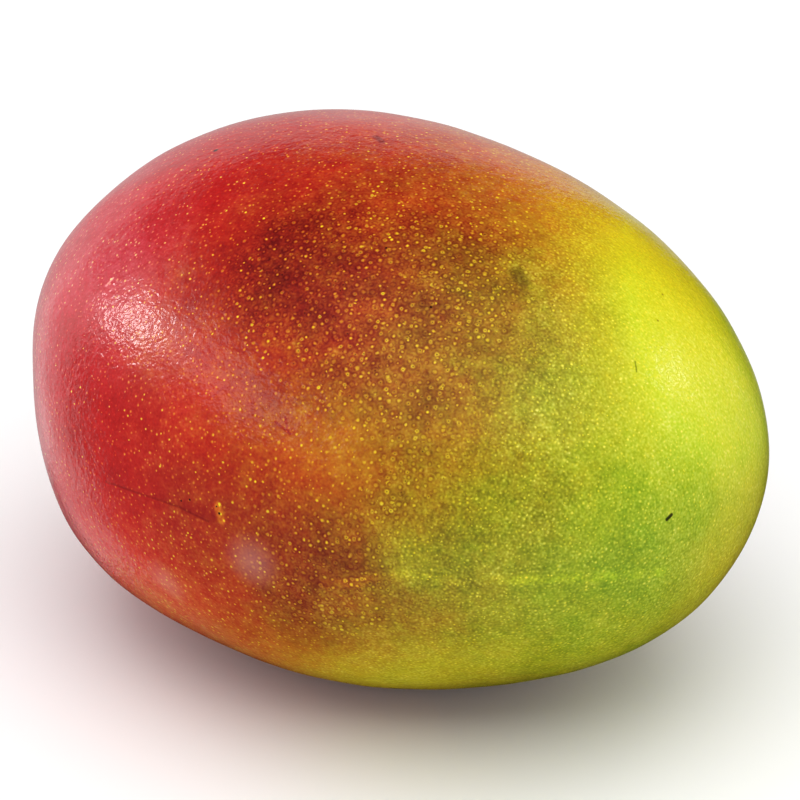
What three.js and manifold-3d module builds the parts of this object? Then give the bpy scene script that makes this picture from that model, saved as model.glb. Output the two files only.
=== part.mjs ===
// A whole ripe mango as picked, lying on its cheek: one solid fruit, with the shallow cavity and the corky scar
// that the stalk leaves, and the small flat that a ripe fruit's own weight presses where it rests.
// Millimetres, +Z up. X runs along the fruit, from the stem end at -X to the apex at +X. The dorsal edge, its
// fuller back, faces +Y and the ventral edge faces -Y. The origin is under the middle of the fruit, on the surface
// that it lies on.
import * as THREE from "three";
import { mergeVertices } from "three/addons/utils/BufferGeometryUtils.js";
import Module from "manifold-3d";

const wasm = await Module();
wasm.setup();

// Driving dimensions.
const LENGTH = 128;
const WIDTH = 100.5; // from the dorsal to the ventral edge
const THICKNESS = 87; // from cheek to cheek
const FLAT_DEPTH = 0.6; // how far the resting flat is pressed into the lower cheek
const ROLL = THREE.MathUtils.degToRad(6.5); // how far its dorsal edge is raised, as it lies

// How full the two ends are: the power of the circle's height at the middle, and how that changes along the fruit.
// Below 1 is blunter than an ellipsoid.
const BLUNTNESS = 0.96;
const BLUNTNESS_CHANGE = -0.03;
// How much wider the stem end is than the apex all round, and how much more so at the dorsal edge.
const STEM_FULLNESS = 0.06;
const DORSAL_LEAN = 0.16;
const BOW = 1.8; // how far the middle line bows towards the dorsal edge

// Places where the skin stands out from that plain form, or lies below it. along is -1 at the stem end and 1 at
// the apex, around is in degrees from the dorsal edge over the upper cheek, reach is the radius and height the
// most that the skin moves. The last two are the stem's cavity and the scar in the middle of it.
const SWELLS = [
  { along: -0.6, around: 228, reach: 17.5, height: 2.3 }, // ventral shoulder
  { along: -0.5, around: 262, reach: 16, height: -1.5 }, // hollow under that shoulder
  { along: 0.57, around: 211, reach: 28, height: -3.3 }, // flatter ventral side towards the apex
  { along: 0.56, around: 38, reach: 30, height: 1.5 }, // fuller dorsal side towards the apex
  { along: -0.84, around: 123, reach: 17.5, height: 0.8 }, // rise beside the stem end
  { along: -0.94, around: 184, reach: 15.5, height: -2.7 }, // flat on the stem end's ventral side
  { along: -1, around: 0, reach: 9, height: -2.4 },
  { along: -1, around: 0, reach: 2.2, height: 1.1 },
];

// How finely the skin is faceted. The rings crowd towards the stem end, where the cavity is.
const RINGS = 44;
const SECTORS = 60;
const CROWDING = 1.3;

// The plain form: an egg with its own taper at each side. The height of a circle over its width, raised to the
// bluntness, gives each ring's radius, and an exponential makes the ring wider or narrower by its place.
function plainPoint(along, around) {
  const taper = STEM_FULLNESS + DORSAL_LEAN * Math.cos(around);
  const circle = Math.sqrt(Math.max(0, 1 - along * along));
  const ring = circle ** (BLUNTNESS + BLUNTNESS_CHANGE * along) * Math.exp(-along * taper);
  return new THREE.Vector3(
    (LENGTH / 2) * along,
    (WIDTH / 2) * ring * Math.cos(around) + BOW * circle * circle,
    (THICKNESS / 2) * ring * Math.sin(around),
  );
}

const swellMiddles = SWELLS.map(({ along, around }) =>
  plainPoint(along, THREE.MathUtils.degToRad(around)),
);

// The skin: the plain form, pushed from the fruit's centre by each swell, which fades as a bell curve.
function skinPoint(along, around) {
  const point = plainPoint(along, around);
  const push = SWELLS.reduce((sum, { reach, height }, i) => {
    const distance = point.distanceTo(swellMiddles[i]) / reach;
    return sum + height * Math.exp(-distance * distance);
  }, 0);
  return point.setLength(point.length() + push);
}

// The skin's closed surface, in rings from the stem end to the apex, with a fan of triangles at each end.
function skinGeometry() {
  const points = [skinPoint(-1, 0)];
  for (let ring = 1; ring < RINGS; ring++) {
    const along = -Math.cos(Math.PI * (ring / RINGS) ** CROWDING);
    for (let sector = 0; sector < SECTORS; sector++)
      points.push(skinPoint(along, (2 * Math.PI * sector) / SECTORS));
  }
  points.push(skinPoint(1, 0));

  const apex = points.length - 1;
  const at = (ring, sector) => 1 + (ring - 1) * SECTORS + (sector % SECTORS);
  const faces = [];
  for (let sector = 0; sector < SECTORS; sector++) {
    faces.push(0, at(1, sector + 1), at(1, sector));
    for (let ring = 1; ring < RINGS - 1; ring++) {
      const [a, b] = [at(ring, sector), at(ring, sector + 1)];
      const [c, d] = [at(ring + 1, sector + 1), at(ring + 1, sector)];
      faces.push(a, b, c, a, c, d);
    }
    faces.push(apex, at(RINGS - 1, sector), at(RINGS - 1, sector + 1));
  }
  return new THREE.BufferGeometry().setFromPoints(points).setIndex(faces);
}

// A closed geometry as a manifold-3d solid.
function solidOf(geometry) {
  const bare = geometry.clone().deleteAttribute("normal").deleteAttribute("uv");
  const merged = mergeVertices(bare);
  return new wasm.Manifold(
    new wasm.Mesh({
      numProp: 3,
      vertProperties: merged.getAttribute("position").array,
      triVerts: new Uint32Array(merged.index.array),
    }),
  );
}

// A manifold-3d solid as a geometry.
function geometryOf(solid) {
  const mesh = solid.getMesh();
  return new THREE.BufferGeometry()
    .setAttribute("position", new THREE.BufferAttribute(mesh.vertProperties, 3))
    .setIndex(new THREE.BufferAttribute(mesh.triVerts, 1));
}

// Cuts the resting flat off the fruit's underside.
function withFlat(geometry) {
  geometry.computeBoundingBox();
  const flatHeight = geometry.boundingBox.min.z + FLAT_DEPTH;
  const below = new THREE.BoxGeometry(2 * LENGTH, 2 * LENGTH, LENGTH);
  below.translate(0, 0, flatHeight - LENGTH / 2);
  return geometryOf(solidOf(geometry).subtract(solidOf(below)));
}

// Moves a geometry so that it stands on z = 0 with its bounding box centred over the origin.
function settled(geometry) {
  geometry.computeBoundingBox();
  const middle = geometry.boundingBox.getCenter(new THREE.Vector3());
  return geometry.translate(-middle.x, -middle.y, -geometry.boundingBox.min.z);
}

const fruit = settled(withFlat(skinGeometry().rotateX(ROLL)));
fruit.computeVertexNormals();

const mango = new THREE.Mesh(
  fruit,
  new THREE.MeshStandardMaterial({ color: 0xb4652a, roughness: 0.42, metalness: 0 }),
);
mango.name = "mango";

const part = new THREE.Group();
part.add(mango);

export default part;
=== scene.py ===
"""A whole ripe mango, lying on its cheek on a pale studio floor.

The fruit is one closed surface, worked out as a formula of two parameters. Its skin is painted the way skin
is coloured: pale flesh seen through three films of pigment, with wax over them. Metres, +Z up. X runs along
the fruit, from the stem end at -X to the tip at +X, and its dorsal edge faces +Y.
"""

import bpy
import numpy as np
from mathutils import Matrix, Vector


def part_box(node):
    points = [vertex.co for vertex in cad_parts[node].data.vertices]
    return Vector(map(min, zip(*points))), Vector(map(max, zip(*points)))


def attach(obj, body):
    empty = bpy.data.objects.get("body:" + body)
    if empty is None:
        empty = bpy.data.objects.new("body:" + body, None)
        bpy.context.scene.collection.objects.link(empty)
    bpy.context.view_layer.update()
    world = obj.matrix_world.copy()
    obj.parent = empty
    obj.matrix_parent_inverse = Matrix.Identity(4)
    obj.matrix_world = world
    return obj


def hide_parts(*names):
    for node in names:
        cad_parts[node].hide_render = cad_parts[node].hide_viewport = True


bl_info = {
    "name": "Mango",
    "version": (1, 0, 0),
    "blender": (4, 5, 0),
    "location": "View3D > Sidebar > Mango",
    "description": "Makes a whole ripe mango with its speckled, waxy skin, and a studio stage for it",
    "category": "Add Mesh",
}

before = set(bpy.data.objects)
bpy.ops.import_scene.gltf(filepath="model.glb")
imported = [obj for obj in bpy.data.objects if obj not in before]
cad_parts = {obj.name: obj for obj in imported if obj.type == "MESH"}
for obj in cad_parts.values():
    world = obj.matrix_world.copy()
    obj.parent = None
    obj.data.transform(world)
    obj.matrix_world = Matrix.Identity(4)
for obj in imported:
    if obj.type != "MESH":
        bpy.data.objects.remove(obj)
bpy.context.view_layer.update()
fruit_low, fruit_high = (np.array(corner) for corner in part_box("mango"))
fruit_size = fruit_high - fruit_low
fruit_middle = (fruit_low + fruit_high) / 2
MM = 0.001


# ------------------------------------------------------------------------------------ what a user changes


def size_of(name, description, default):
    """A length that a user can change."""
    return bpy.props.FloatProperty(
        name=name, description=description, default=default, unit="LENGTH", precision=5
    )


def colour_of(name, description, default):
    """A colour that a user can change."""
    return bpy.props.FloatVectorProperty(
        name=name, description=description, default=default, subtype="COLOR", min=0, max=1
    )


class MangoForm(bpy.types.PropertyGroup):
    """Sizes of the fruit."""

    length: size_of("Length", "From the stem end to the tip", fruit_size[0])
    width: size_of("Width", "From the ventral to the dorsal edge", fruit_size[1])
    thickness: size_of("Thickness", "From the lower to the upper cheek", fruit_size[2])
    ripple: size_of("Ripple", "Height of the skin's slow ripples", 0.05 * MM)
    rings: bpy.props.IntProperty(name="Rings", description="Rows of faces along the fruit", default=212)
    sectors: bpy.props.IntProperty(name="Sectors", description="Faces in each row, all round", default=440)


class MangoSkin(bpy.types.PropertyGroup):
    """Colours of the skin, and sizes of what speckles it."""

    flesh: colour_of("Flesh", "The flesh under the skin", (0.95, 0.93, 0.75))
    red_film: colour_of("Red film", "What one layer of red lets through", (0.905, 0.150, 0.333))
    green_film: colour_of("Green film", "What one layer of green lets through", (0.472, 0.779, 0.368))
    gold_film: colour_of("Gold film", "What one layer of gold lets through", (0.980, 0.887, 0.150))
    cork_film: colour_of("Cork film", "What one layer of cork lets through", (0.12, 0.07, 0.04))
    dot_spacing: size_of("Dot spacing", "Between the skin's pale dots", 1.3 * MM)
    dot_radius: size_of("Dot radius", "Of the skin's pale dots", 0.27 * MM)
    # Painted reflection: the pale pink that soft patches mix into the skin's colour where lights below would
    # shine back.
    reflection_tint: colour_of("Bloom", "The powder that stays on the skin in places", (0.85, 0.5, 0.45))
    wax: bpy.props.FloatProperty(
        name="Wax", description="How much wax covers the skin", default=0.4, min=0, max=1
    )


class MangoStage(bpy.types.PropertyGroup):
    """The camera and the floor."""

    azimuth: bpy.props.FloatProperty(
        name="Azimuth",
        description="How far the camera stands round from the ventral side towards the tip",
        default=np.radians(26.5),
        subtype="ANGLE",
    )
    elevation: bpy.props.FloatProperty(
        name="Elevation",
        description="How far the camera stands above the floor",
        default=np.radians(30),
        subtype="ANGLE",
    )
    distance: size_of("Distance", "From the camera to the fruit", 0.7)
    lens: bpy.props.FloatProperty(name="Lens", description="Focal length in millimetres", default=192.7)
    floor: colour_of("Floor", "Colour of the floor", (0.9, 0.9, 0.9))


# --------------------------------------------------------------------------------------- the fruit's form

# The plain form, in millimetres, before the fruit is brought to its size.
PLAIN_LENGTH = 128
PLAIN_WIDTH = 100.5
PLAIN_THICKNESS = 87
FLAT_DEPTH = 0.6  # how far the resting flat is pressed into the lower cheek
FLAT_EDGE = 0.25  # how softly that flat ends
ROLL = np.radians(6.5)  # how far the dorsal edge is raised, as the fruit lies
BLUNTNESS = 0.96  # below 1 is blunter than an ellipsoid
BLUNTNESS_CHANGE = -0.03  # from the middle to the tip
STEM_FULLNESS = 0.06  # how strongly the rings widen towards the stem end
DORSAL_LEAN = 0.16  # how much more they do on the dorsal side, and less on the ventral side
BOW = 1.8  # how far the middle line bends towards the dorsal edge

# Where the skin stands out from the plain form, or lies below it. Each has its place along the fruit, from
# -1 at the stem end to 1 at the tip, its degrees around it, from the dorsal edge over the upper cheek, its
# reach and its height.
SWELLS = [
    (-0.6, 228, 17.5, 2.3),  # ventral shoulder
    (-0.5, 262, 16, -1.5),  # hollow under that shoulder
    (0.57, 211, 28, -3.3),  # flatter ventral side towards the tip
    (0.56, 38, 30, 1.5),  # fuller dorsal side towards the tip
    (-0.84, 123, 17.5, 0.8),  # rise beside the stem end
    (-0.94, 184, 15.5, -2.7),  # flat on the stem end's ventral side
    (-1, 0, 9, -2.4),  # the stem's cavity
    (-1, 0, 2.2, 1.1),  # the scar in the middle of it
]

RIPPLE_SEED = 7
RIPPLE_WAVES = 24
RIPPLE_LENGTHS = (9, 16)  # shortest and longest
LAYOUT_SPREAD = 0.98  # how much of the square the skin's layout fills


def plain_point(along, around):
    """An egg with its own taper at each side.

    A ring's radius is the height of a circle over the ring's place, raised to the bluntness, times an
    exponential that makes it wider towards the stem end. The middle line bows towards the dorsal edge.
    """
    taper = STEM_FULLNESS + DORSAL_LEAN * np.cos(around)
    circle = np.sqrt(np.clip(1 - along**2, 0, None))
    ring = circle ** (BLUNTNESS + BLUNTNESS_CHANGE * along) * np.exp(-along * taper)
    x = PLAIN_LENGTH / 2 * along + 0 * around
    y = PLAIN_WIDTH / 2 * ring * np.cos(around) + BOW * circle**2
    z = PLAIN_THICKNESS / 2 * ring * np.sin(around)
    return np.stack([x, y, z], axis=-1)


def plain_at(along, degrees):
    """One place on the plain form, from its place along the fruit and its degrees around it."""
    return plain_point(np.float64(along), np.radians(np.float64(degrees)))


def bell(points, centre, reach):
    """1 at the centre, and less by a bell curve of the distance over the reach."""
    return np.exp(-((points - centre) ** 2).sum(-1) / reach**2)


def swollen(points):
    """Each point pushed from the fruit's centre by the sum of the swells, which fade as bell curves."""
    push = 0
    for along, degrees, reach, height in SWELLS:
        push = push + height * bell(points, plain_at(along, degrees), reach)
    return points * (1 + push / np.linalg.norm(points, axis=-1))[..., None]


def rippled(points, height):
    """Each point pushed from the centre by the sum of waves, which run in random directions."""
    random = np.random.default_rng(RIPPLE_SEED)
    ways = random.normal(size=(RIPPLE_WAVES, 3))
    ways /= np.linalg.norm(ways, axis=1, keepdims=True)
    ways *= 2 * np.pi / random.uniform(*RIPPLE_LENGTHS, (RIPPLE_WAVES, 1))
    starts = random.uniform(0, 2 * np.pi, RIPPLE_WAVES)
    push = height / MM * np.sin(points @ ways.T + starts).sum(-1) / np.sqrt(RIPPLE_WAVES)
    return points * (1 + push / np.linalg.norm(points, axis=-1))[..., None]


def rolled(points):
    """Points turned about the fruit's length, so that the dorsal edge is raised."""
    x, y, z = np.moveaxis(points, -1, 0)
    return np.stack([x, y * np.cos(ROLL) - z * np.sin(ROLL), y * np.sin(ROLL) + z * np.cos(ROLL)], axis=-1)


def grid_of(form):
    """The along and around values of the grid's rings and sectors. The end rings are the two poles."""
    along = -np.cos(np.pi * np.linspace(0, 1, form.rings + 1))[:, None]
    around = 2 * np.pi * np.arange(form.sectors)[None, :] / form.sectors
    return along, around


def skin_of(form):
    """A function that gives the skin's point, in metres, for each along and around.

    The plain form is swollen, rippled and rolled, its lowest points are raised to the resting flat by a soft
    maximum of their height and the flat's, and all of it is stretched into the fruit's box.
    """

    def shaped(along, around):
        return rolled(rippled(swollen(plain_point(along, around)), form.ripple))

    def rested(points):
        height = points[..., 2:] - flat
        return np.concatenate([points[..., :2], (height + np.hypot(height, FLAT_EDGE)) / 2], axis=-1)

    whole = shaped(*grid_of(form))
    flat = whole[..., 2].min() + FLAT_DEPTH
    whole = rested(whole)
    low, high = whole.min((0, 1)), whole.max((0, 1))
    size = np.array((form.length, form.width, form.thickness))
    middle = (0.5, 0.5, 0)
    return lambda along, around: ((rested(shaped(along, around)) - low) / (high - low) - middle) * size


def laid_out(along, part, turn, stem_half):
    """Places on a square for places on the fruit, by an equal-area octahedral map.

    The square's middle is the tip, and its four corners are all the stem end. A place's distance from the
    middle, counted along both sides, grows with the share of the fruit between it and the tip. The part says
    how far round its own quarter turn it is.
    """
    out = np.sqrt(1 - np.abs(along))
    up = part * out
    side = out - up
    side, up = np.where(stem_half, 1 - up, side), np.where(stem_half, 1 - side, up)
    angle = turn * np.pi / 2
    x, y = side * np.cos(angle) - up * np.sin(angle), side * np.sin(angle) + up * np.cos(angle)
    return 0.5 + LAYOUT_SPREAD / 2 * np.stack([x, y], axis=-1)


def layout(along, sectors):
    """Where each face's corners lie on the square, in the order of the faces of fruit_mesh."""
    quarter = sectors // 4
    turn = np.arange(sectors) // quarter
    left = np.arange(sectors) % quarter / quarter
    right = left + 1 / quarter
    near, far = along[1:-2], along[2:-1]
    stem_half = near + far < 0
    corners = (near, left), (near, right), (far, right), (far, left)
    quads = np.stack([laid_out(*corner, turn, stem_half) for corner in corners], axis=2)
    corners = (along[0], left), (along[1], right), (along[1], left)
    stem_fan = np.stack([laid_out(*corner, turn, True) for corner in corners], axis=1)
    corners = (along[-1], left), (along[-2], left), (along[-2], right)
    tip_fan = np.stack([laid_out(*corner, turn, False) for corner in corners], axis=1)
    return np.concatenate([quads.ravel(), stem_fan.ravel(), tip_fan.ravel()])


def fruit_mesh(form):
    """The fruit's skin as a closed mesh: quads between the rings, and a fan of triangles at each pole."""
    along, around = grid_of(form)
    points = skin_of(form)(along, around)
    sectors = form.sectors
    vertices = np.concatenate([points[:1, 0], points[1:-1].reshape(-1, 3), points[-1:, 0]])
    index = 1 + np.arange((form.rings - 1) * sectors).reshape(-1, sectors)
    after = np.roll(index, -1, axis=1)
    quads = np.stack([index[:-1], after[:-1], after[1:], index[1:]], axis=-1).reshape(-1, 4)
    stem, tip = np.zeros(sectors, int), np.full(sectors, len(vertices) - 1)
    stem_fan = np.stack([stem, after[0], index[0]], axis=-1)
    tip_fan = np.stack([tip, index[-1], after[-1]], axis=-1)

    mesh = bpy.data.meshes.new("mango_fruit")
    mesh.from_pydata(vertices.tolist(), [], quads.tolist() + stem_fan.tolist() + tip_fan.tolist())
    mesh.shade_smooth()
    mesh.uv_layers.new(name="OFBake").data.foreach_set("uv", layout(along, sectors))

    plain = plain_point(along, around)
    for name, (ends, patches) in PIGMENTS.items():
        amounts = pigment(plain, along, ends, patches)
        amounts = np.concatenate([amounts[:1, 0], amounts[1:-1].ravel(), amounts[-1:, 0]])
        mesh.attributes.new(name, "FLOAT", "POINT").data.foreach_set("value", amounts.astype(np.float32))
    return mesh


# ------------------------------------------------------------------------------------------- the pigments

# How much of each pigment the skin holds. The first row has the amounts at the stem end and at the tip, and
# the two places along the fruit between which it changes. The others are patches of more or less, each with
# its place along the fruit and around it, its reach and its amount.
PIGMENTS = {
    "red": (
        (2.1, 0.15, -0.5, 0.85),
        [
            (-0.95, 140, 22, -0.7),
            (-0.64, 141, 8, 1.7),
            (-0.52, 165, 11, 1.7),
            (-0.52, 82, 10, 0.8),
            (-0.55, 122, 9, -0.15),
            (-0.45, 215, 22, -0.9),
            (-0.47, 98, 11, 0.45),
            (-0.4, 135, 8, -0.4),
            (-0.2, 115, 8, 0.3),
            (-0.3, 203, 12, -0.35),
            (-0.1, 118, 13, 0.1),
            (0, 45, 16, -0.5),
            (0, 143, 9, -0.2),
            (0.1, 217, 20, -0.9),
            (0.05, 127, 9, 0.15),
            (0.2, 143, 7, -0.3),
            (0.41, 165, 7, -0.25),
            (0.57, 150, 6, -0.1),
            (0.66, 150, 8, 0.1),
            (0.35, 105, 15, 0.1),
            (0.4, 205, 16, -0.2),
            (0.5, 47, 20, -0.45),
            (0.68, 108, 17, 0.1),
            (0.8, 80, 22, -0.35),
        ],
    ),
    "green": (
        (0.15, 1.27, -1.1, 0.6),
        [
            (-0.5, 195, 20, -0.35),
            (-0.3, 203, 14, -0.4),
            (-0.2, 60, 15, -0.3),
            (-0.16, 143, 10, -0.35),
            (-0.1, 117, 12, 0.45),
            (0.1, 217, 20, -0.55),
            (0.5, 200, 10, -0.15),
            (0.1, 115, 25, 0.15),
            (0.12, 185, 9, 0.25),
            (0.2, 50, 20, -0.5),
            (0.2, 150, 9, -0.35),
            (0.35, 213, 13, -0.25),
            (0.42, 105, 11, 0.35),
            (0.5, 137, 12, -0.2),
            (0.55, 165, 14, 0.25),
            (0.55, 212, 14, -0.25),
            (0.62, 64, 24, -0.85),
            (0.64, 127, 8, 0.25),
            (0.78, 103, 11, -0.25),
            (0.88, 190, 16, 0.3),
            (0.68, 158, 8, 0.15),
            (0.84, 128, 9, -0.15),
            (0.92, 152, 10, 0.45),
            (0.95, 90, 19, -0.55),
            (0.95, 245, 22, -0.6),
        ],
    ),
    "gold": (
        (0.3, 1.9, -0.8, 0.1),
        [
            (-0.5, 118, 12, -0.4),
            (-0.5, 168, 11, 0.8),
            (-0.4, 85, 12, 0.3),
            (-0.2, 204, 11, -0.45),
            (-0.1, 75, 18, -0.4),
            (-0.15, 117, 10, 0.7),
            (0, 212, 12, -0.3),
            (0.12, 120, 20, 1.1),
            (0.2, 162, 20, 0.6),
            (0.5, 50, 20, 2.5),
            (0.85, 120, 22, -0.3),
            (0.95, 60, 16, -0.5),
            (0.9, 190, 20, -0.15),
        ],
    ),
}

# Marks on the skin, and painted shade in and beside the crease: the places along and around it that each
# runs through, its half-width, and how much it adds of red, green, gold and cork.
CREASE = [(-0.46, 171.3), (-0.39, 170.1), (-0.27, 168.7), (-0.21, 168.3), (-0.12, 169.1)]
MARKS_AND_SHADE = [
    # painted shade: the crease's groove, darkened along its line
    (CREASE, 0.15, (0.4, 0.4, 0.2, 0)),
    ([(-0.2, 167.7), (-0.11, 167.2)], 0.8, (0.5, 0.2, 0.1, 0)),  # painted shade beside the crease
    ([(-0.096, 165), (-0.082, 167.6)], 0.6, (-0.8, -0.6, 0.8, 0)),  # healed yellow spot at its end
    ([(-0.098, 165.1)], 0.1, (0, 0, 0, 1.5)),  # two pinholes in that spot
    ([(-0.089, 166.4)], 0.13, (0, 0, 0, 3)),
    ([(-0.204, 166.7)], 0.11, (0, 0, 0, 2)),  # two pinholes above the crease
    ([(-0.178, 165.7)], 0.12, (0, 0, 0, 2.5)),
    ([(0.916, 152.6), (0.921, 150.6)], 0.2, (0, 0.8, 0, 0.9)),  # scar beside the tip
    ([(0.749, 105.3), (0.762, 107.8)], 0.1, (0, 0.5, 0.2, 0.2)),  # cut on the yellow shoulder
    ([(-0.505, 83.5)], 0.3, (-0.5, 0, 0.8, 1.2)),  # brown speck on the red shoulder
    ([(-0.118, 74.4), (-0.09, 76)], 0.4, (0.8, 0.3, 0, 0.15)),  # red scar on top
    ([(-0.578, 122.4), (-0.591, 124.4)], 0.2, (-1.5, -0.3, 0, 0)),  # pale scratch
    ([(0.026, 145), (0.071, 146.5)], 0.15, (0.8, 0.2, 0, 0)),  # three red scratches on the cheek
    ([(0.048, 143.7), (0.064, 146.1)], 0.15, (0.8, 0.2, 0, 0)),
    ([(-0.165, 143.9), (-0.133, 140.9)], 0.15, (0.6, 0.1, 0, 0)),
    ([(0.43, 100), (0.45, 101.5)], 0.9, (0.1, 0.3, 0, 0.15)),  # smudge
    ([(0.123, 105.9)], 0.12, (0, 0, 0, 1.5)),  # four more pinholes
    ([(0.295, 115.3)], 0.13, (0, 0, 0, 1.5)),
    ([(0.734, 87.5)], 0.15, (0, 0, 0, 0.3)),
    ([(0.699, 77.1)], 0.15, (0, 0, 0, 0.3)),
    ([(-1, 0)], 2.4, (-0.3, 0.6, 0.6, 0.6)),  # scar where the stem was, and its dark middle
    ([(-1, 0)], 1.2, (0, 0, 0, 0.5)),
]
CREASE_DEPTH = 0.05
CREASE_REACH = 0.35

# The low keel along the ventral side, which has rubbed yellow in places, and what that adds of red, green
# and gold.
KEEL = [
    (0.2, 176.5),
    (0.27, 175),
    (0.4, 170.8),
    (0.54, 171.4),
    (0.67, 170.8),
    (0.8, 171.8),
    (0.86, 173.6),
    (0.92, 179),
]
KEEL_WIDTH = 0.75
KEEL_HEIGHT = 0.12
KEEL_AMOUNTS = (-0.15, -0.5, 0.3)

# Painted reflections of soft lights below the lower cheek, with each patch's reach, and how much it hides of
# the skin.
PAINTED_REFLECTIONS = [((-0.283, 192.2), 5.5), ((0.005, 175.2), 6)]
REFLECTION_SHARE = 0.2


def smooth(value):
    """0 up to 0, 1 from 1 on, and an even curve in between."""
    value = np.clip(value, 0, 1)
    return value**2 * (3 - 2 * value)


def pigment(points, along, ends, patches):
    """An amount that goes from the stem end's to the tip's between two places, with patches added."""
    stem, tip, first, last = ends
    amount = stem + (tip - stem) * smooth((along - first) / (last - first))
    for place, degrees, reach, more in patches:
        amount = amount + more * bell(points, plain_at(place, degrees), reach)
    return np.maximum(amount, 0)


# ---------------------------------------------------------------------------------------------- materials


class Value:
    """A material's socket. Arithmetic on it adds Math nodes, or Vector Math nodes if anything is wide."""

    def __init__(self, paint, socket):
        self.paint, self.socket = paint, socket

    def combined(self, operation, left, right):
        """A new value from two, either of which can be plain numbers."""
        kind = "ShaderNodeVectorMath" if is_wide(left) or is_wide(right) else "ShaderNodeMath"
        return self.paint.node(kind, {"operation": operation}, {0: left, 1: right})

    def __add__(self, other):
        return self.combined("ADD", self, other)

    def __sub__(self, other):
        return self.combined("SUBTRACT", self, other)

    def __mul__(self, other):
        return self.combined("MULTIPLY", self, other)

    def __truediv__(self, other):
        return self.combined("DIVIDE", self, other)

    def __pow__(self, other):
        return self.combined("POWER", self, other)

    def __rsub__(self, other):
        return self.combined("SUBTRACT", other, self)

    def __rtruediv__(self, other):
        return self.combined("DIVIDE", other, self)

    def __rpow__(self, other):
        return self.combined("POWER", other, self)

    __radd__ = __add__
    __rmul__ = __mul__

    def __getitem__(self, name):
        """Another output of the same node."""
        return Value(self.paint, self.socket.node.outputs[name])


def is_wide(value):
    """Whether a value or a plain number is a colour or a vector."""
    if isinstance(value, Value):
        return value.socket.type in ("VECTOR", "RGBA")
    return np.ndim(value) > 0


class Paint:
    """A material under construction."""

    def __init__(self, name):
        self.material = bpy.data.materials.new(name)
        self.material.use_nodes = True
        self.tree = self.material.node_tree
        self.shader = self.tree.nodes["Principled BSDF"]

    def node(self, kind, settings=None, inputs=None):
        """Adds a node with these settings and inputs, and gives its first output that is in use."""
        made = self.tree.nodes.new(kind)
        for name, setting in (settings or {}).items():
            setattr(made, name, setting)
        self.fill(made, inputs or {})
        return Value(self, next(socket for socket in made.outputs if socket.enabled))

    def fill(self, node, inputs):
        """Links or sets a node's inputs. A plain number for a vector or colour fills all of it."""
        for name, value in inputs.items():
            socket = node.inputs[name]
            if isinstance(value, Value):
                self.tree.links.new(value.socket, socket)
            elif np.ndim(value):
                spare = (1,) * (len(socket.default_value) - len(value))
                socket.default_value = (*value, *spare)
            elif hasattr(socket.default_value, "__len__"):
                socket.default_value = (value,) * len(socket.default_value)
            else:
                socket.default_value = value

    def finish(self, **inputs):
        """Fills the shader's own sockets, whose names are given with underscores, and gives the material."""
        self.fill(self.shader, {name.replace("_", " "): value for name, value in inputs.items()})
        return self.material

    def coordinate(self, name):
        return self.node("ShaderNodeTexCoord")[name]

    def attribute(self, name):
        return self.node("ShaderNodeAttribute", {"attribute_name": name})["Fac"]

    def noise(self, place, name):
        """Smooth noise from about -1 to 1, with the facts that NOISES has under that name."""
        shift, size, detail, rough = NOISES[name]
        inputs = {"Vector": place + shift, "Scale": 1 / size, "Detail": detail, "Roughness": rough}
        return self.node("ShaderNodeTexNoise", {}, inputs) * 2 - 1

    def step(self, value, low, high):
        """0 below low, 1 above high, and smooth in between. With low above high it falls instead."""
        return self.node(
            "ShaderNodeMapRange",
            {"interpolation_type": "SMOOTHSTEP"},
            {"Value": value, "From Min": low, "From Max": high},
        )

    def dot(self, left, right):
        return self.node("ShaderNodeVectorMath", {"operation": "DOT_PRODUCT"}, {0: left, 1: right})["Value"]

    def length(self, vector):
        return self.node("ShaderNodeVectorMath", {"operation": "LENGTH"}, {0: vector})["Value"]

    def through(self, film, amount):
        """The light that comes through that many layers of a film."""
        return self.node("ShaderNodeVectorMath", {"operation": "POWER"}, {0: tuple(film), 1: amount})

    def largest(self, left, right):
        return self.node("ShaderNodeMath", {"operation": "MAXIMUM"}, {0: left, 1: right})

    def stroke(self, place, points, width):
        """1 on a line through the points, and less past half its half-width, to 0 at twice that width.

        One point is a dot.
        """
        inside = 0
        for start, end in zip(points, points[1:] or points):
            away, run = place - start, np.array(end) - start
            if run.any():
                share = self.node("ShaderNodeClamp", {}, {"Value": self.dot(away, run / (run @ run))})
                away = away - tuple(run) * share
            inside = self.largest(inside, self.step(self.length(away), 2 * width, 0.5 * width))
        return inside

    def bump(self, height):
        """A shading normal for a height in millimetres."""
        return self.node("ShaderNodeBump", {}, {"Height": height, "Distance": MM})["Normal"]


# The skin's noises: how far each is shifted, the size of its largest lumps, how many times finer lumps are
# added, and how strong each finer lot is beside the last.
NOISES = {
    "cloud": (200, 11, 3, 0.7),
    "mottle": (0, 14, 5, 1),
    "blotch": (50, 7, 4, 0.9),
    "patchy": (90, 2.2, 2, 0.8),
    "cluster": (150, 3, 1, 0.6),
    "grain": (0, 0.42, 0, 0.5),
    "wear": (30, 9, 3, 0.8),
    "relief": (0, 1.3, 2, 0.65),
}
RELIEF_HEIGHT = 0.08

# The amounts of red and green between which each sort of skin begins and is full. Ripe skin has little red,
# and fine dots. Rusty skin has so much of both that it is brown, and its dots have dark eyes and rings.
RIPE_RED = (0.7, 0.3)
RUST_RED = (0.2, 0.7)
RUST_GREEN = (0.8, 1.2)

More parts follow.
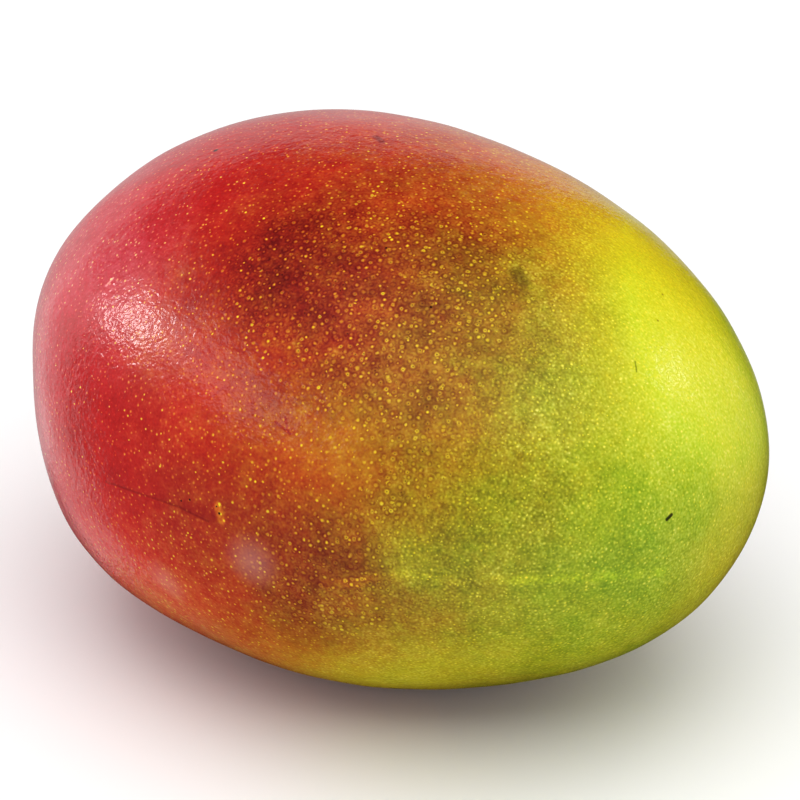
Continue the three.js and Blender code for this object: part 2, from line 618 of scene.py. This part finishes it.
# The parts of a dot: how far from its middle, in radii, each begins and is full.
HALO_EDGE = (1.5, 0.2)
FINE_EDGE = (1.7, 0.2)
EYE_EDGE = (0.55, 0.2)
RING_OUTSIDE = (2.6, 1.8)
RING_INSIDE = (1.6, 1)
DOTS_KEPT = (0.1, 0.3)  # the luck under which a dot is left out, and over which it is whole
EYES_KEPT = (0.6, 0.9)  # the same for its eye
DOT_DISORDER = 0.9  # from 0, dots in rows, to 1
DOT_SIZES = (0.65, 0.7)  # the smallest dot's radius, and how much more the largest has
DOT_WOBBLE = 0.25  # how much the grain bends a dot's edge
DOT_HEIGHT = 0.01
PLAIN_DOT, RUST_DOT = 0.75, 0.2  # the radius on red skin, and how much more it is on rusty skin
FINE_SPACING, FINE_DOT = 0.72, 0.62  # the spacing and radius on ripe skin, beside those on red skin

# A halo's strength is a product of two things, its luck and the cluster it lies in. Each has a fixed part,
# and a part that varies.
HALO_BY_LUCK, HALO_BY_CLUSTER = (0.5, 0.6), (0.95, 0.8)
FINE_BY_LUCK, FINE_BY_CLUSTER = (0.3, 0.8), (0.9, 0.6)

# How much thicker each thing makes a film, as a share of it. The eyes and the gold of halos are in layers.
MOTTLE, RUST_MOTTLE = 0.5, 0.5
GRAIN, RIPE_GRAIN, RUST_GRAIN = 0.2, 0.25, 0.1
RUST_RING = 0.25
RED_BLOTCH, RED_PATCHY, RED_HALO, RED_EYE = 0.6, 0.4, -0.85, 0.5
GREEN_PATCHY, GREEN_CLOUD, GREEN_HALO, GREEN_EYE = 0.3, 0.5, -0.8, 1.3
GOLD_HALO, RIPE_GOLD_HALO = 0.35, -0.6

WORN_EDGE = (-0.3, 0.3)  # the noise at which the keel begins to be worn, and is fully so
ROUGHNESS = 0.2
WAX_ROUGHNESS = 0.45


def skin_material(skin, surface):
    """Flesh seen through red, green and gold films, each as thick as its pigment, with pale dots in them."""
    paint = Paint("mango_skin")
    place = paint.coordinate("Object") * (1 / MM)
    outward = paint.coordinate("Normal")
    red, green, gold = (paint.attribute(name) for name in PIGMENTS)
    noises = [paint.noise(place, name) for name in NOISES]
    cloud, mottle, blotch, patchy, cluster, grain, wear, relief = noises
    ripe = paint.step(red, *RIPE_RED)
    rust = paint.step(red, *RUST_RED) * paint.step(green, *RUST_GREEN)

    def line(places):
        """The skin's points, in millimetres, at places along and around it."""
        return [tuple(surface(np.float64(along), np.radians(degrees)) / MM) for along, degrees in places]

    def dots(spacing, radius):
        """How far from its dot's middle each place is, in radii, and three random numbers for the dot.

        Each dot is drawn round the nearest of many random points, by its distance along the skin, so that
        every dot is whole however deep its point lies.
        """
        inputs = {"Vector": place, "Scale": 1 / spacing, "Randomness": DOT_DISORDER}
        cells = paint.node("ShaderNodeTexVoronoi", {}, inputs)
        away = place - cells["Position"]
        depth = paint.dot(away, outward)
        luck = [paint.dot(cells["Color"], axis) for axis in np.eye(3)]
        size = radius * (DOT_SIZES[0] + DOT_SIZES[1] * luck[0])
        return paint.length(away - outward * depth) * (1 + DOT_WOBBLE * grain) / size, luck

    def strength(luck, by_luck, by_cluster):
        """How much of each pigment a dot drives out, from its luck and its cluster."""
        return (by_luck[0] + by_luck[1] * luck) * (by_cluster[0] + by_cluster[1] * cluster)

    spacing, radius = skin.dot_spacing / MM, skin.dot_radius / MM
    beside, luck = dots(spacing, radius * (PLAIN_DOT + RUST_DOT * rust))
    halo = paint.step(beside, *HALO_EDGE) * strength(luck[1], HALO_BY_LUCK, HALO_BY_CLUSTER)
    halo = halo * paint.step(luck[2], *DOTS_KEPT) * (1 - ripe)
    ring = paint.step(beside, *RING_OUTSIDE) - paint.step(beside, *RING_INSIDE)
    eye = paint.step(beside, *EYE_EDGE) * paint.step(luck[0], *EYES_KEPT) * rust
    beside, luck = dots(spacing * FINE_SPACING, radius * FINE_DOT)
    fine = paint.step(beside, *FINE_EDGE) * strength(luck[1], FINE_BY_LUCK, FINE_BY_CLUSTER)
    halo = halo + fine * ripe

    uneven = 1 + (MOTTLE + RUST_MOTTLE * rust) * mottle + RUST_RING * rust * ring
    uneven = uneven + (GRAIN + RIPE_GRAIN * ripe + RUST_GRAIN * rust) * grain
    red = red * uneven * (1 + RED_BLOTCH * blotch + RED_PATCHY * patchy)
    red = red * (1 + RED_HALO * halo) + RED_EYE * eye
    green = green * uneven * (1 + GREEN_PATCHY * patchy + GREEN_CLOUD * cloud)
    green = green * (1 + GREEN_HALO * halo) + GREEN_EYE * eye
    gold = gold * uneven + (GOLD_HALO + RIPE_GOLD_HALO * ripe) * halo
    cork = 0
    # The marks, and the painted shade in and beside the crease, thicken the films.
    for places, width, amounts in MARKS_AND_SHADE:
        mark_or_shade = paint.stroke(place, line(places), width)
        red, green, gold, cork = (was + more * mark_or_shade for was, more in zip((red, green, gold, cork), amounts))
    keel = paint.stroke(place, line(KEEL), KEEL_WIDTH)
    worn = keel * paint.step(wear, *WORN_EDGE)
    red, green, gold = (was + more * worn for was, more in zip((red, green, gold), KEEL_AMOUNTS))

    films = [skin.red_film, skin.green_film, skin.gold_film, skin.cork_film]
    colour = tuple(skin.flesh)
    for film, amount in zip(films, (red, green, gold, cork)):
        colour = colour * paint.through(film, paint.largest(amount, 0))
    # Painted reflections: soft pale patches mixed into the colour where the gloss would show lights below
    # the lower cheek.
    for centre, reach in PAINTED_REFLECTIONS:
        share = REFLECTION_SHARE * paint.step(paint.length(place - line([centre])[0]), reach, 0)
        colour = colour * (1 - share) + share * tuple(skin.reflection_tint)

    height = RELIEF_HEIGHT * relief + DOT_HEIGHT * halo + KEEL_HEIGHT * keel
    height = height - CREASE_DEPTH * paint.stroke(place, line(CREASE), CREASE_REACH)
    return paint.finish(
        Base_Color=colour,
        Roughness=ROUGHNESS,
        Specular_IOR_Level=0.5,
        Coat_Weight=skin.wax,
        Coat_Roughness=WAX_ROUGHNESS,
        Normal=paint.bump(height),
    )


def floor_material(colour):
    """A matt, even paint."""
    return Paint("floor").finish(Base_Color=tuple(colour), Roughness=0.9)


# ---------------------------------------------------------------------------------------------- the stage

AIM_ABOVE = 0.4 * MM  # how far above the fruit's middle the camera looks
FLOOR_SIDE = 6
WORLD_STRENGTH = 0.62

# Each light's azimuth and elevation as seen from the fruit, in degrees, its distance, width and height, its
# radiance, and whether it shows in the diffuse colours or in the gloss.
LIGHTS = {
    "softbox": (30, 75, 1.2, 1.4, 1.4, 2.35, "diffuse"),
    "fill": (-110, 5, 1.2, 1.0, 1.0, 0.35, "diffuse"),
    "side_wall": (-98, -11, 1.2, 0.7, 1.1, 0.85, "gloss"),
    "low_glow": (-105, -42, 1.2, 0.5, 0.25, 0.5, "gloss"),
    "window": (-77, 22, 1.2, 0.14, 0.13, 30.0, "gloss"),
    "curtain": (-84, 26, 1.2, 0.6, 0.5, 0.55, "gloss"),
    "window_strip": (-47, 31, 1.2, 0.9, 0.25, 1.6, "gloss"),
    "backdrop": (-140, -6, 1.2, 1.4, 1.3, 0.55, "gloss"),
    "back_window": (133, 30, 1.2, 0.12, 0.12, 9.0, "gloss"),
}


def direction(azimuth, elevation):
    """The unit vector at that azimuth, from the ventral side towards the tip, and that elevation."""
    level = np.cos(elevation)
    return Vector((np.sin(azimuth) * level, -np.cos(azimuth) * level, np.sin(elevation)))


def placed(name, data, place, target):
    """A camera or light at a place, looking at the target."""
    item = bpy.data.objects.new(name, data)
    item.location = place
    item.rotation_euler = (Vector(target) - place).to_track_quat("-Z", "Y").to_euler()
    bpy.context.scene.collection.objects.link(item)
    return item


def add_light(name, azimuth, elevation, distance, width, height, radiance, shows_in):
    """A flat light that faces the fruit, with that radiance all over it."""
    lamp = bpy.data.lights.new(name, "AREA")
    lamp.shape = "RECTANGLE"
    lamp.size, lamp.size_y = width, height
    lamp.energy = radiance * np.pi * width * height
    way = direction(np.radians(azimuth), np.radians(elevation))
    light = placed(name, lamp, Vector(fruit_middle) + distance * way, fruit_middle)
    light.visible_camera = False
    light.visible_diffuse = shows_in == "diffuse"
    light.visible_glossy = shows_in == "gloss"


def add_camera(stage):
    """The camera, at its angle and distance from the fruit."""
    lens = bpy.data.cameras.new("camera")
    lens.lens = stage.lens
    target = Vector(fruit_middle) + Vector((0, 0, AIM_ABOVE))
    place = target + stage.distance * direction(stage.azimuth, stage.elevation)
    bpy.context.scene.camera = placed("camera", lens, place, target)


def add_floor(stage):
    """A square floor, which the gloss lights below it shine through."""
    corners = FLOOR_SIDE / 2 * np.array([(-1, -1, 0), (1, -1, 0), (1, 1, 0), (-1, 1, 0)])
    mesh = bpy.data.meshes.new("floor")
    mesh.from_pydata(corners.tolist(), [], [(0, 1, 2, 3)])
    mesh.materials.append(floor_material(stage.floor))
    floor = bpy.data.objects.new("floor", mesh)
    bpy.context.scene.collection.objects.link(floor)
    floor.visible_glossy = False
    floor.visible_shadow = False


def add_world():
    """An even, dim light from all round, which the gloss doesn't show."""
    world = bpy.data.worlds.new("studio")
    world.use_nodes = True
    world.node_tree.nodes["Background"].inputs["Color"].default_value = (1, 1, 1, 1)
    world.node_tree.nodes["Background"].inputs["Strength"].default_value = WORLD_STRENGTH
    world.cycles_visibility.glossy = False
    bpy.context.scene.world = world


# ---------------------------------------------------------------------------------------------- operators


class MANGO_OT_fruit(bpy.types.Operator):
    """Makes the fruit, in place of the plain solid"""

    bl_idname = "mango.fruit"
    bl_label = "Mango"

    def execute(self, context):
        form = context.scene.mango_form
        mesh = fruit_mesh(form)
        mesh.materials.append(skin_material(context.scene.mango_skin, skin_of(form)))
        fruit = bpy.data.objects.new("mango_fruit", mesh)
        context.scene.collection.objects.link(fruit)
        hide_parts("mango")
        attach(fruit, "root")
        return {"FINISHED"}


class MANGO_OT_stage(bpy.types.Operator):
    """Makes the floor, the lights and the camera"""

    bl_idname = "mango.stage"
    bl_label = "Studio stage"

    def execute(self, context):
        stage = context.scene.mango_stage
        add_floor(stage)
        for name, facts in LIGHTS.items():
            add_light(name, *facts)
        add_world()
        add_camera(stage)
        context.scene.view_settings.view_transform = "Standard"
        return {"FINISHED"}


class MANGO_PT_panel(bpy.types.Panel):
    """The fruit's, the skin's and the stage's settings"""

    bl_idname = "MANGO_PT_panel"
    bl_label = "Mango"
    bl_space_type = "VIEW_3D"
    bl_region_type = "UI"
    bl_category = "Mango"

    def draw(self, context):
        for group in SETTINGS:
            settings = getattr(context.scene, group)
            for name in settings.__annotations__:
                self.layout.prop(settings, name)
        self.layout.operator(MANGO_OT_fruit.bl_idname)
        self.layout.operator(MANGO_OT_stage.bl_idname)


SETTINGS = {"mango_form": MangoForm, "mango_skin": MangoSkin, "mango_stage": MangoStage}
CLASSES = (*SETTINGS.values(), MANGO_OT_fruit, MANGO_OT_stage, MANGO_PT_panel)


def register():
    for cls in CLASSES:
        bpy.utils.register_class(cls)
    for name, group in SETTINGS.items():
        setattr(bpy.types.Scene, name, bpy.props.PointerProperty(type=group))


def unregister():
    for name in SETTINGS:
        delattr(bpy.types.Scene, name)
    for cls in reversed(CLASSES):
        bpy.utils.unregister_class(cls)


def main():
    """Makes the fruit and the stage."""
    register()
    bpy.ops.mango.fruit()
    bpy.ops.mango.stage()


if __name__ == "__main__":
    main()
